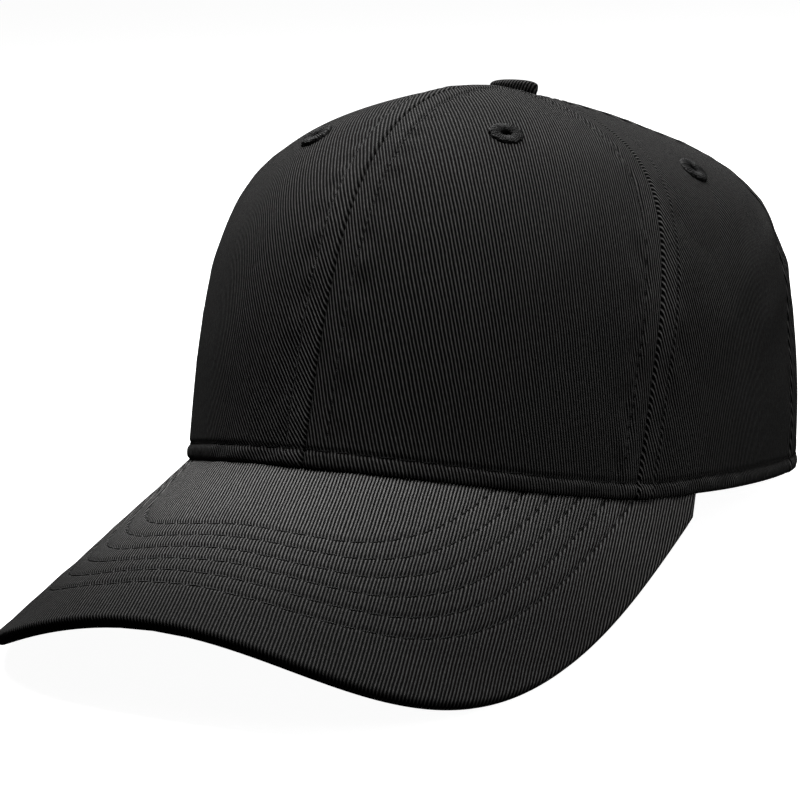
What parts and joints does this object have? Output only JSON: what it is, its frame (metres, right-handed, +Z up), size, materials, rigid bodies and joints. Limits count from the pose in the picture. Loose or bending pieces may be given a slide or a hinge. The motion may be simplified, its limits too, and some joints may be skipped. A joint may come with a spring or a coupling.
{
  "type": "baseball cap",
  "caption": "Structured twill baseball cap with a long curved visor, a covered top button, a sweatband and a hook-and-loop strap across a rear cut-out.",
  "frame": {"origin": "on the table, under the middle of the cap's box, as the cap stands on the back of its rim and the side edges of its visor", "axes": "+X to the wearer's left, -Y to the front (the visor's way), +Z up from the table; the crown's own axis leans back by 9.59 degrees"},
  "size_m": [0.1598, 0.2827, 0.1235],
  "materials": {
    "crown_twill": "black cotton twill",
    "visor_twill": "black cotton twill",
    "buckram": "stiffened open weave",
    "seam_tape": "plain woven tape",
    "sweatband_cloth": "soft brushed twill",
    "foam": "soft open-cell foam",
    "label": "satin woven, blank",
    "thread": "polyester sewing thread",
    "button_metal": "pressed, satin",
    "visor_plastic": "flexible polyethylene sheet",
    "hook_tape": "nylon hooks",
    "loop_tape": "brushed nylon loops"
  },
  "bodies": {
    "cap": {"panel_front_left": "crown_twill", "panel_front_right": "crown_twill", "panel_side_left": "crown_twill", "panel_side_right": "crown_twill", "panel_back_left": "crown_twill", "panel_back_right": "crown_twill", "buckram_front_left": "buckram", "buckram_front_right": "buckram", "seam_tape_front": "seam_tape", "seam_tape_back": "seam_tape", "seam_tape_front_side_left": "seam_tape", "seam_tape_front_side_right": "seam_tape", "seam_tape_side_back_left": "seam_tape", "seam_tape_side_back_right": "seam_tape", "sweatband_foam": "foam", "sweatband": "sweatband_cloth", "care_label": "label", "eyelet_front_left": "thread", "eyelet_front_right": "thread", "eyelet_side_left": "thread", "eyelet_side_right": "thread", "eyelet_back_left": "thread", "eyelet_back_right": "thread", "button_cover": "crown_twill", "button_dome": "button_metal", "button_back_plate": "button_metal", "visor_top_cover": "visor_twill", "visor_board": "visor_plastic", "visor_under_cover": "visor_twill", "arch_binding": "seam_tape"},
    "outer_strap": {"outer_strap": "crown_twill", "hook_tape": "hook_tape"},
    "inner_strap": {"inner_strap": "crown_twill", "loop_tape": "loop_tape"}
  },
  "joints": [
    {"name": "outer_strap_peel", "type": "hinge", "parent": "cap", "child": "outer_strap", "pos_m": [0.03376, 0.13428, 0.01167], "axis": [0, -0.1666, -0.986], "range_deg": [0, 120]},
    {"name": "inner_strap_fold", "type": "hinge", "parent": "cap", "child": "inner_strap", "pos_m": [-0.03232, 0.13066, 0.01175], "axis": [0, -0.1666, -0.986], "range_deg": [0, 65]}
  ]
}
